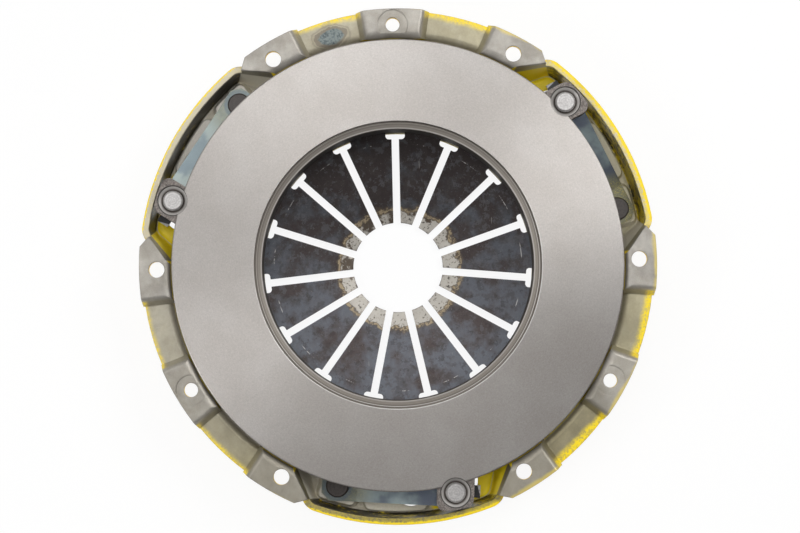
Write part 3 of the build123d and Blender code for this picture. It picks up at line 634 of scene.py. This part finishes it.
def rivet_paint(name, circle, offset, light, dark, pitch, metallic):
    """Rivet heads with faint marks round each of the three centres."""
    p = Paint(name, metallic=metallic, specular=0.5)
    marks = p.rings(p.distance(*p.local(circle, offset)), pitch)
    fine = p.noise(0.9 * MM, 4, 0.65, seed=41)
    worn = p.add(p.times(marks, 0.25), p.times(p.rise(fine, 0.3, 0.7), 0.75))
    p.bump(p.add(p.times(marks, 0.4), fine), 0.02 * MM, 0.4)
    return p.finish(p.mix(worn, dark, light), p.scale(fine, 0.34, 0.48))


def plain_steel_paint(name, dark, light, roughness):
    """Plain steel pieces: a little colour change and a fine grain."""
    p = Paint(name, metallic=0.7, roughness=roughness)
    fine = p.noise(1.3 * MM, 4, 0.6, seed=51)
    p.bump(fine, 0.03 * MM, 0.4)
    return p.finish(p.mix(fine, dark, light))


def black_paint():
    """Blackened backing plates with a painted highlight on a pale end."""
    p = Paint("backing_black", roughness=0.42, metallic=0.2)
    along = p.local(RIVET_CIRCLE, LUG_OFFSET)[1]
    fine = p.noise(1.0 * MM, 3, 0.6, seed=61)
    # Painted highlight: a pale patchy strip along the far end
    end_highlight = p.both(p.rise(along, 13.0 * MM, 13.4 * MM), p.rise(fine, 0.3, 0.5))
    black = p.mix(fine, (0.012, 0.012, 0.013), (0.035, 0.035, 0.037))
    p.bump(fine, 0.03 * MM, 0.4)
    return p.finish(p.mix(end_highlight, black, (0.36, 0.355, 0.35)))


def dress(name, material):
    """Gives a solid of the frame its finished material."""
    mesh = nodes[name].data
    mesh.materials.clear()
    mesh.materials.append(material)


def new_object(name, data):
    """New object in the scene, at the origin."""
    made = bpy.data.objects.new(name, data)
    scene.collection.objects.link(made)
    return made


def copy_of(name, new_name, material):
    """New piece with the shape of one solid, to stand in its stead."""
    mesh = nodes[name].data.copy()
    mesh.name = new_name
    shape = bmesh.new()
    shape.from_mesh(mesh)
    bmesh.ops.remove_doubles(shape, verts=shape.verts[:], dist=MERGE_DISTANCE)
    shape.to_mesh(mesh)
    shape.free()
    mesh.shade_smooth()
    mesh.set_sharp_from_angle(angle=SHARP_FROM)
    mesh.materials.clear()
    mesh.materials.append(material)
    return new_object(new_name, mesh)


def slice_along(piece, start, end, count):
    """Cuts a mesh into slices between two points, so that it can bend there."""
    shape = bmesh.new()
    shape.from_mesh(piece.data)
    direction = (end - start).normalized()
    for i in range(1, count):
        geometry = shape.verts[:] + shape.edges[:] + shape.faces[:]
        place = start.lerp(end, i / count)
        bmesh.ops.bisect_plane(shape, geom=geometry, plane_co=place, plane_no=direction)
    shape.to_mesh(piece.data)
    shape.free()


def lathe(name, profile, segments):
    """Round piece on the Z axis from (radius, level) pairs, listed from its top down."""
    shape = bmesh.new()
    circles = []
    for radius, level in profile:
        if radius == 0:
            circles.append([shape.verts.new((0, 0, level))])
            continue
        circles.append([shape.verts.new(polar(radius, 360 * i / segments, level)) for i in range(segments)])
    for upper, lower in zip(circles, circles[1:]):
        for i in range(segments):
            j = (i + 1) % segments
            turns = ((upper, i), (lower, i), (lower, j), (upper, j))
            corners = [points[k % len(points)] for points, k in turns]
            shape.faces.new(list(dict.fromkeys(corners)))
    mesh = bpy.data.meshes.new(name)
    shape.to_mesh(mesh)
    shape.free()
    return new_object(name, mesh)


def copies_round(name, template, count, circle, first, material):
    """Copies of one piece round a circle, made by a node tree and kept as one plain mesh."""
    tree = bpy.data.node_groups.new(f"{name}_tree", "GeometryNodeTree")
    sockets = {
        "Geometry": "NodeSocketGeometry",
        "Piece": "NodeSocketObject",
        "Count": "NodeSocketInt",
        "Circle": "NodeSocketFloat",
        "First": "NodeSocketFloat",
        "Finish": "NodeSocketMaterial",
    }
    identifiers = {}
    for label, kind in sockets.items():
        identifiers[label] = tree.interface.new_socket(label, in_out="INPUT", socket_type=kind).identifier
    tree.interface.new_socket("Geometry", in_out="OUTPUT", socket_type="NodeSocketGeometry")
    given = tree.nodes.new("NodeGroupInput")
    points = tree.nodes.new("GeometryNodeMeshCircle")
    turned_points = tree.nodes.new("GeometryNodeTransform")
    turn = tree.nodes.new("ShaderNodeCombineXYZ")
    source = tree.nodes.new("GeometryNodeObjectInfo")
    placed = tree.nodes.new("GeometryNodeInstanceOnPoints")
    real = tree.nodes.new("GeometryNodeRealizeInstances")
    finish = tree.nodes.new("GeometryNodeSetMaterial")
    result = tree.nodes.new("NodeGroupOutput")
    for start, end in (
        (given.outputs["Count"], points.inputs["Vertices"]),
        (given.outputs["Circle"], points.inputs["Radius"]),
        (given.outputs["First"], turn.inputs["Z"]),
        (points.outputs[0], turned_points.inputs["Geometry"]),
        (turn.outputs[0], turned_points.inputs["Rotation"]),
        (turned_points.outputs[0], placed.inputs["Points"]),
        (given.outputs["Piece"], source.inputs["Object"]),
        (source.outputs["Geometry"], placed.inputs["Instance"]),
        (placed.outputs[0], real.inputs[0]),
        (real.outputs[0], finish.inputs["Geometry"]),
        (given.outputs["Finish"], finish.inputs["Material"]),
        (finish.outputs[0], result.inputs[0]),
    ):
        tree.links.new(start, end)
    carrier = new_object(f"{name}_carrier", bpy.data.meshes.new(f"{name}_carrier"))
    modifier = carrier.modifiers.new("copies", "NODES")
    modifier.node_group = tree
    first_turn = first * DEGREE
    values = {"Piece": template, "Count": count, "Circle": circle, "First": first_turn, "Finish": material}
    for label, value in values.items():
        modifier[identifiers[label]] = value
    evaluated = carrier.evaluated_get(bpy.context.evaluated_depsgraph_get())
    mesh = bpy.data.meshes.new_from_object(evaluated)
    mesh.name = name
    carrier.modifiers.clear()
    bpy.data.objects.remove(carrier)
    bpy.data.objects.remove(template)
    mesh.shade_smooth()
    mesh.set_sharp_from_angle(angle=RIVET_SHARP_FROM)
    return new_object(name, mesh)


def rivet_profile(tail, top):
    """Half section of a fulcrum rivet: domed head, shank, and a tail upset with a small dimple."""
    under_head = top - 3.0 * MM
    over_tail = tail + 3.2 * MM
    shank = 3.5 * MM
    head = 6.2 * MM
    upset = 5.6 * MM
    return [
        (0, top), (2.6 * MM, top - 0.12 * MM), (4.6 * MM, top - 0.7 * MM), (5.8 * MM, top - 1.6 * MM),
        (head, top - 2.5 * MM), (head, under_head), (shank, under_head), (shank, over_tail),
        (upset, over_tail), (upset, over_tail - 1.5 * MM), (5.0 * MM, tail + 0.75 * MM),
        (3.6 * MM, tail + 0.15 * MM), (1.9 * MM, tail), (1.4 * MM, tail + 0.45 * MM), (0, tail + 0.6 * MM),
    ]


def photo_camera():
    """Camera nearly square to the friction face, turned a little as in the photograph."""
    turned = Matrix.Rotation(ROLL, 3, "Z")
    right = turned @ Vector((1, 0, 0))
    up = turned @ Vector((0, math.cos(TILT), math.sin(TILT)))
    back = turned @ Vector((0, -math.sin(TILT), math.cos(TILT)))
    place = right * AIM_RIGHT - up * AIM_DOWN + back * DISTANCE
    camera = new_object("camera", bpy.data.cameras.new("camera"))
    camera.data.lens = camera.data.sensor_width / 2 / math.tan(HALF_FIELD)
    camera.data.clip_start = 0.01
    camera.matrix_world = Matrix.Translation(place) @ Matrix((right, up, back)).transposed().to_4x4()
    return camera


def floor_paint():
    """White to the eye and in reflections, and otherwise a plain matt floor that takes faint shadows."""
    material = bpy.data.materials.new("floor_white")
    material.use_nodes = True
    tree = material.node_tree
    tree.nodes.clear()
    output = tree.nodes.new("ShaderNodeOutputMaterial")
    path = tree.nodes.new("ShaderNodeLightPath")
    seen = tree.nodes.new("ShaderNodeMath")
    seen.operation = "MAXIMUM"
    tree.links.new(path.outputs["Is Camera Ray"], seen.inputs[0])
    tree.links.new(path.outputs["Is Glossy Ray"], seen.inputs[1])
    share = tree.nodes.new("ShaderNodeMath")
    share.operation = "MULTIPLY"
    share.inputs[1].default_value = FLOOR_GLOW
    tree.links.new(seen.outputs[0], share.inputs[0])
    diffuse = tree.nodes.new("ShaderNodeBsdfDiffuse")
    diffuse.inputs[0].default_value = FLOOR_WHITE
    glow = tree.nodes.new("ShaderNodeEmission")
    glow.inputs[0].default_value = WHITE
    mixed = tree.nodes.new("ShaderNodeMixShader")
    tree.links.new(share.outputs[0], mixed.inputs[0])
    tree.links.new(diffuse.outputs[0], mixed.inputs[1])
    tree.links.new(glow.outputs[0], mixed.inputs[2])
    tree.links.new(mixed.outputs[0], output.inputs[0])
    return material


def white_floor(level):
    """Large square floor under the part."""
    corners = [(-FLOOR_REACH, -FLOOR_REACH, level), (FLOOR_REACH, -FLOOR_REACH, level),
               (FLOOR_REACH, FLOOR_REACH, level), (-FLOOR_REACH, FLOOR_REACH, level)]
    mesh = bpy.data.meshes.new("floor")
    mesh.from_pydata(corners, [], [(0, 1, 2, 3)])
    mesh.materials.append(floor_paint())
    return new_object("floor", mesh)


def studio_world():
    """White where it is seen, and otherwise a soft studio sky that is brighter on one side."""
    world = bpy.data.worlds.new("studio")
    world.use_nodes = True
    tree = world.node_tree
    tree.nodes.clear()
    output = tree.nodes.new("ShaderNodeOutputWorld")
    sky = tree.nodes.new("ShaderNodeBackground")
    white = tree.nodes.new("ShaderNodeBackground")
    white.inputs[0].default_value = WHITE
    white.inputs[1].default_value = 1.0
    direction = tree.nodes.new("ShaderNodeTexCoord")
    toward = tree.nodes.new("ShaderNodeVectorMath")
    toward.operation = "DOT_PRODUCT"
    toward.inputs[1].default_value = SKY_TOWARD
    tree.links.new(direction.outputs["Generated"], toward.inputs[0])
    brightness = tree.nodes.new("ShaderNodeMapRange")
    brightness.interpolation_type = "SMOOTHSTEP"
    for socket, value in SKY_LEVELS:
        brightness.inputs[socket].default_value = value
    tree.links.new(toward.outputs["Value"], brightness.inputs["Value"])
    tree.links.new(brightness.outputs["Result"], sky.inputs[1])
    path = tree.nodes.new("ShaderNodeLightPath")
    mixed = tree.nodes.new("ShaderNodeMixShader")
    tree.links.new(path.outputs["Is Camera Ray"], mixed.inputs[0])
    tree.links.new(sky.outputs[0], mixed.inputs[1])
    tree.links.new(white.outputs[0], mixed.inputs[2])
    tree.links.new(mixed.outputs[0], output.inputs[0])
    return world


def lamp(name, place, size, power, glossy=True):
    """Square soft light at a place, turned to the middle of the part."""
    data = bpy.data.lights.new(name, "AREA")
    data.shape = "SQUARE"
    data.size = size
    data.energy = power
    light = new_object(name, data)
    light.location = place
    light.visible_glossy = glossy
    light.rotation_euler = (-Vector(place)).to_track_quat("-Z", "Y").to_euler()


# Solids that only get a finish
dress("cover", cover_paint())
dress("pressure_plate", iron_paint())
bright_head = (0.60, 0.585, 0.57)
dull_head = (0.36, 0.345, 0.34)
dress("lug_rivets", rivet_paint(
    "lug_rivet_steel", RIVET_CIRCLE, LUG_OFFSET, bright_head, dull_head,
    pitch=1.3 * MM, metallic=0.7))
brown_head = (0.075, 0.064, 0.058)
black_head = (0.045, 0.038, 0.035)
dress("cover_strap_rivets", rivet_paint(
    "strap_rivet_steel", STRAP_RIVET_CIRCLE, STRAP_OFFSET, brown_head, black_head,
    pitch=2.5 * MM, metallic=0.2))
ring_steel = plain_steel_paint("ring_steel", (0.10, 0.10, 0.11), (0.22, 0.22, 0.23), 0.4)
dress("fulcrum_ring_front", ring_steel)
dress("fulcrum_ring_rear", ring_steel)

# Fulcrum rivets
rivet_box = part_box("fulcrum_rivets")
rivet_shape = lathe("rivet_shape", rivet_profile(rivet_box[0][2], rivet_box[1][2]), RIVET_SEGMENTS)
rivet_steel = plain_steel_paint("fulcrum_rivet_steel", (0.26, 0.25, 0.24), (0.42, 0.41, 0.39), 0.45)
fulcrum_rivets = copies_round(
    "finished_fulcrum_rivets", rivet_shape, FINGERS, FULCRUM_RIVET_CIRCLE, FIRST_FULCRUM_RIVET, rivet_steel)
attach(fulcrum_rivets, COVER)
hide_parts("fulcrum_rivets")

# A finished copy of the spring, carried with the cover, stands in for its solid
spring = copy_of("diaphragm_spring", "finished_spring", spring_paint())
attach(spring, COVER)
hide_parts("diaphragm_spring")
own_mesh(spring)

# Each strap leaf is copied and cut into slices between its two rivets, and the backing plates are finished
backing = black_paint()
strap_steel = strap_paint()
for pocket in range(POCKETS):
    centre = FIRST_POCKET + 360 / POCKETS * pocket
    dress(f"strap_{pocket + 1}_backing_plate", backing)
    lug_end = polar(RIVET_CIRCLE, centre + LUG_OFFSET)
    cover_end = polar(STRAP_RIVET_CIRCLE, centre + STRAP_OFFSET)
    start = cover_end.lerp(lug_end, LEAF_CLAMPED)
    end = lug_end.lerp(cover_end, LEAF_CLAMPED)
    for leaf in range(LEAVES):
        node = f"strap_{pocket + 1}_leaf_{leaf + 1}"
        piece = copy_of(node, f"finished_{node}", strap_steel)
        slice_along(piece, start, end, LEAF_SLICES)
        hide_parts(node)
        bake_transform(piece)

# Camera, floor and light
scene.camera = photo_camera()
floor = white_floor(cad_box[0][2] - FLOOR_GAP)
scene.world = studio_world()
lamp("key", (-0.15, 0.5, 1.55), 0.6, 3.6)
lamp("right", (0.95, 0.52, 1.25), 0.8, 13)
lamp("left", (-1.15, -0.42, 1.2), 0.7, 9)
lamp("fill", (-0.05, -0.05, 1.6), 0.5, 6, glossy=False)
